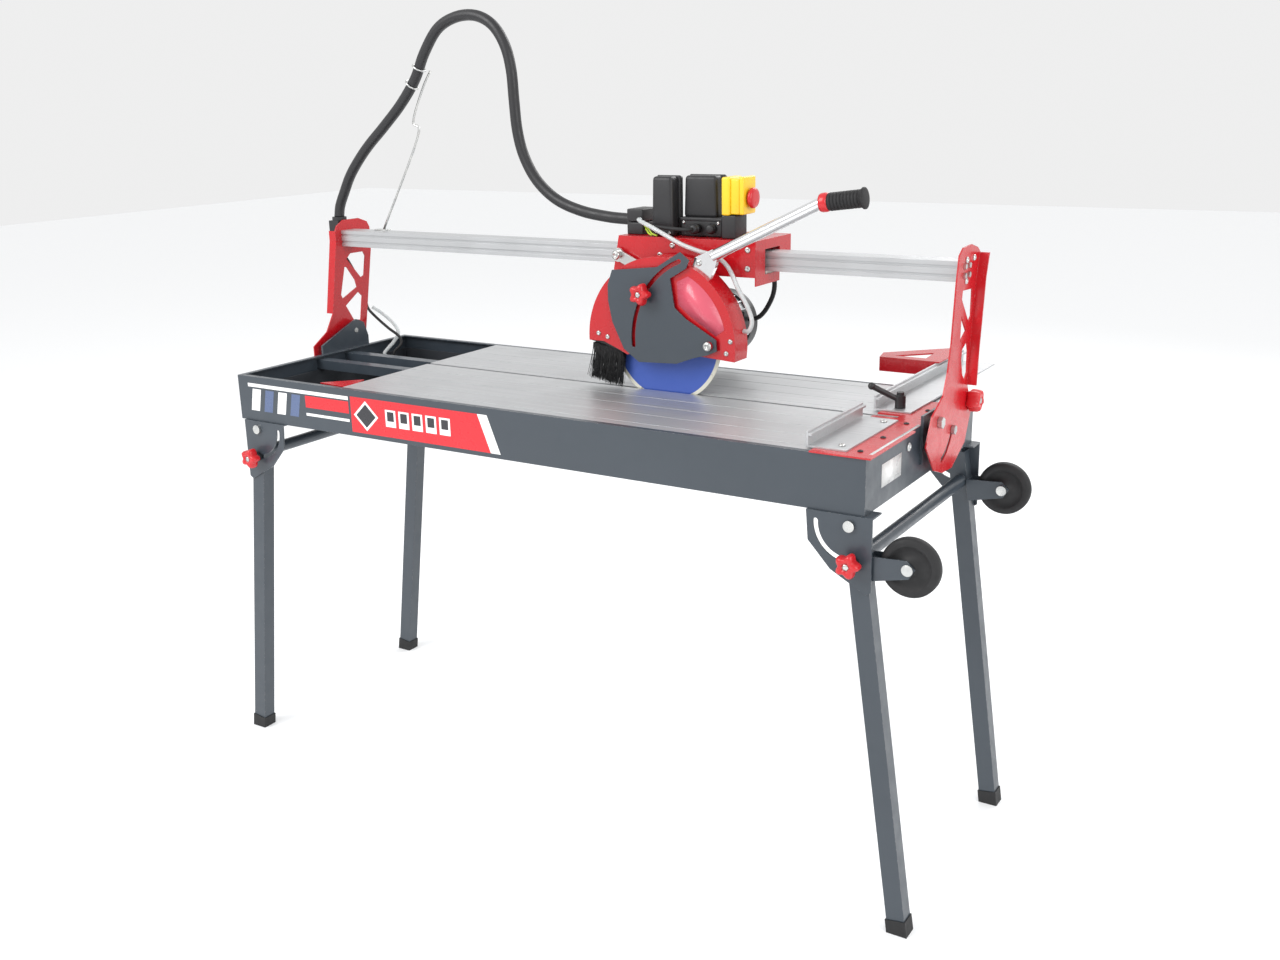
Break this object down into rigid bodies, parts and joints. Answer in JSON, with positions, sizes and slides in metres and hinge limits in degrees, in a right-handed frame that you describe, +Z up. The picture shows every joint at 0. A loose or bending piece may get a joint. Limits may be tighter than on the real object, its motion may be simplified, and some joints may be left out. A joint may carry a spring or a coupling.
{
  "type": "wet tile saw",
  "caption": "Floor-standing bridge wet saw for tiles: water tray on folding wheeled legs, tilting rail bridge, sliding head with guarded disc, fence and hand lever.",
  "frame": {"origin": "on the floor, in the middle of the bounding box seen from above", "axes": "+X along the tray from the left end to the wheeled end, +Y from the operator side to the back, +Z up"},
  "size_m": [1.6894, 0.8493, 1.6288],
  "materials": {
    "aluminium": "satin",
    "slate": "satin",
    "red_metal": "satin",
    "zinc": "satin",
    "chrome": "polished",
    "black_plastic": "matte",
    "red_plastic": "gloss",
    "yellow_plastic": "gloss",
    "green_plastic": "gloss",
    "rubber": "matte",
    "clear_hose": "gloss",
    "tub": "matte",
    "motor_grey": "satin",
    "blue_blade": "satin",
    "nylon": "matte"
  },
  "bodies": {
    "table": {"tray_frame": "slate", "water_tub": "tub", "inner_rails": "slate", "table_plate_front": "aluminium", "table_plate_rear": "aluminium", "bay_plate": "red_metal", "tray_brackets": "slate", "tray_bolts": "zinc", "pump": "black_plastic", "pump_hose": "clear_hose", "pump_cable": "rubber", "fence_base": "red_metal", "fence_front": "aluminium"},
    "fence_arm": {"fence_rear": "aluminium"},
    "fence_clamp": {"fence_lever": "black_plastic"},
    "tile_guide": {"tile_stop": "red_metal"},
    "legs_left": {"left_legs": "slate", "left_feet": "rubber", "left_leg_bolts": "zinc"},
    "legs_right": {"right_legs": "slate", "right_feet": "rubber", "right_leg_bolts": "zinc"},
    "knob_lf": {"leg_knob_lf": "red_plastic"},
    "knob_lr": {"leg_knob_lr": "red_plastic"},
    "knob_rf": {"leg_knob_rf": "red_plastic"},
    "knob_rr": {"leg_knob_rr": "red_plastic"},
    "wheel_f": {"wheel_front": "rubber"},
    "wheel_r": {"wheel_rear": "rubber"},
    "bridge": {"tower_left": "red_metal", "tower_right": "red_metal", "beam": "aluminium", "bridge_bolts": "zinc", "conduit_socket": "black_plastic", "conduit": "black_plastic", "wire_support": "zinc"},
    "knob_tilt": {"tilt_knob": "red_plastic"},
    "trolley": {"carriage": "red_metal", "carriage_pins": "zinc", "beam_pads": "nylon", "electric_boxes": "black_plastic", "switch_body": "yellow_plastic"},
    "roller_l": {"top_roller_l": "black_plastic"},
    "roller_r": {"top_roller_r": "black_plastic"},
    "lid": {"switch_lid": "yellow_plastic"},
    "stop": {"stop_button": "red_plastic"},
    "start": {"start_button": "green_plastic"},
    "head": {"head_frame": "zinc", "motor": "motor_grey", "motor_cap": "black_plastic", "guard": "red_metal", "brush_flap": "rubber", "brush_bristles": "rubber", "lever": "chrome", "lever_grip": "rubber", "water_hose": "clear_hose", "motor_lead": "rubber"},
    "arbor": {"spindle": "zinc", "blade": "blue_blade"},
    "cover": {"cover_plate": "slate"},
    "knob_cover": {"cover_knob": "red_plastic"}
  },
  "joints": [
    {"name": "fold_left_legs", "type": "hinge", "parent": "table", "child": "legs_left", "pos_m": [-0.71636, -0.11235, 0.755], "axis": [0, -1, 0], "range_deg": [0, 98]},
    {"name": "fold_right_legs", "type": "hinge", "parent": "table", "child": "legs_right", "pos_m": [0.69164, -0.11235, 0.755], "axis": [0, 1, 0], "range_deg": [0, 92.5]},
    {"name": "turn_knob_lf", "type": "hinge", "parent": "legs_left", "child": "knob_lf", "pos_m": [-0.72499, -0.40535, 0.6936], "axis": [0, 1, 0], "continuous": true},
    {"name": "turn_knob_lr", "type": "hinge", "parent": "legs_left", "child": "knob_lr", "pos_m": [-0.72499, 0.18065, 0.6936], "axis": [0, 1, 0], "continuous": true},
    {"name": "turn_knob_rf", "type": "hinge", "parent": "legs_right", "child": "knob_rf", "pos_m": [0.70027, -0.40535, 0.6936], "axis": [0, 1, 0], "continuous": true},
    {"name": "turn_knob_rr", "type": "hinge", "parent": "legs_right", "child": "knob_rr", "pos_m": [0.70027, 0.18065, 0.6936], "axis": [0, 1, 0], "continuous": true},
    {"name": "roll_wheel_front", "type": "hinge", "parent": "legs_right", "child": "wheel_f", "pos_m": [0.79268, -0.36665, 0.69205], "axis": [0, 1, 0], "continuous": true},
    {"name": "roll_wheel_rear", "type": "hinge", "parent": "legs_right", "child": "wheel_r", "pos_m": [0.79268, 0.14195, 0.69205], "axis": [0, 1, 0], "continuous": true},
    {"name": "tilt_bridge", "type": "hinge", "parent": "table", "child": "bridge", "pos_m": [-0.02686, -0.09735, 0.872], "axis": [1, 0, 0], "range_deg": [0, 45], "deforming": ["pump_hose", "pump_cable", "brush_bristles"]},
    {"name": "turn_tilt_knob", "type": "hinge", "parent": "bridge", "child": "knob_tilt", "pos_m": [0.74764, 0.06665, 0.882], "axis": [1, 0, 0], "continuous": true},
    {"name": "slide_carriage", "type": "slide", "parent": "bridge", "child": "trolley", "axis": [1, 0, 0], "range_m": [-0.66, 0.34], "deforming": ["conduit"]},
    {"name": "spin_roller_left", "type": "hinge", "parent": "trolley", "child": "roller_l", "pos_m": [0.06064, 0.01265, 1.1603], "axis": [0, 1, 0], "continuous": true},
    {"name": "spin_roller_right", "type": "hinge", "parent": "trolley", "child": "roller_r", "pos_m": [0.32064, 0.01265, 1.1603], "axis": [0, 1, 0], "continuous": true},
    {"name": "open_switch_lid", "type": "hinge", "parent": "trolley", "child": "lid", "pos_m": [0.30564, -0.01735, 1.29], "axis": [0, -1, 0], "range_deg": [0, 110]},
    {"name": "press_stop", "type": "slide", "parent": "lid", "child": "stop", "axis": [-1, 0, 0], "range_m": [0, 0.003], "stiffness_N_per_m": 900},
    {"name": "press_start", "type": "slide", "parent": "trolley", "child": "start", "axis": [-1, 0, 0], "range_m": [0, 0.003], "stiffness_N_per_m": 600},
    {"name": "plunge_head", "type": "hinge", "parent": "trolley", "child": "head", "pos_m": [0.03864, -0.06935, 1.137], "axis": [0, -1, 0], "range_deg": [0, 18], "deforming": ["water_hose", "motor_lead"]},
    {"name": "spin_blade", "type": "hinge", "parent": "head", "child": "arbor", "pos_m": [0.16614, -0.08535, 0.9755], "axis": [0, 1, 0], "continuous": true},
    {"name": "swing_cover", "type": "hinge", "parent": "head", "child": "cover", "pos_m": [0.28124, -0.12935, 0.9793], "axis": [0, -1, 0], "range_deg": [-35, 5]},
    {"name": "turn_cover_knob", "type": "hinge", "parent": "head", "child": "knob_cover", "pos_m": [0.13657, -0.14535, 1.07325], "axis": [0, 1, 0], "continuous": true},
    {"name": "slide_rear_fence", "type": "slide", "parent": "table", "child": "fence_arm", "axis": [0, 1, 0], "range_m": [0, 0.06]},
    {"name": "turn_fence_lever", "type": "hinge", "parent": "fence_arm", "child": "fence_clamp", "pos_m": [0.64264, -0.04735, 0.89], "axis": [0, 0, 1], "range_deg": [0, 60]},
    {"name": "slide_tile_stop", "type": "slide", "parent": "fence_arm", "child": "tile_guide", "axis": [0, 1, 0], "range_m": [-0.2, 0]}
  ],
  "couplings": [
    {"joint": "spin_roller_left", "follows": "slide_carriage", "rad_per_m": 100},
    {"joint": "spin_roller_right", "follows": "slide_carriage", "rad_per_m": 100}
  ]
}
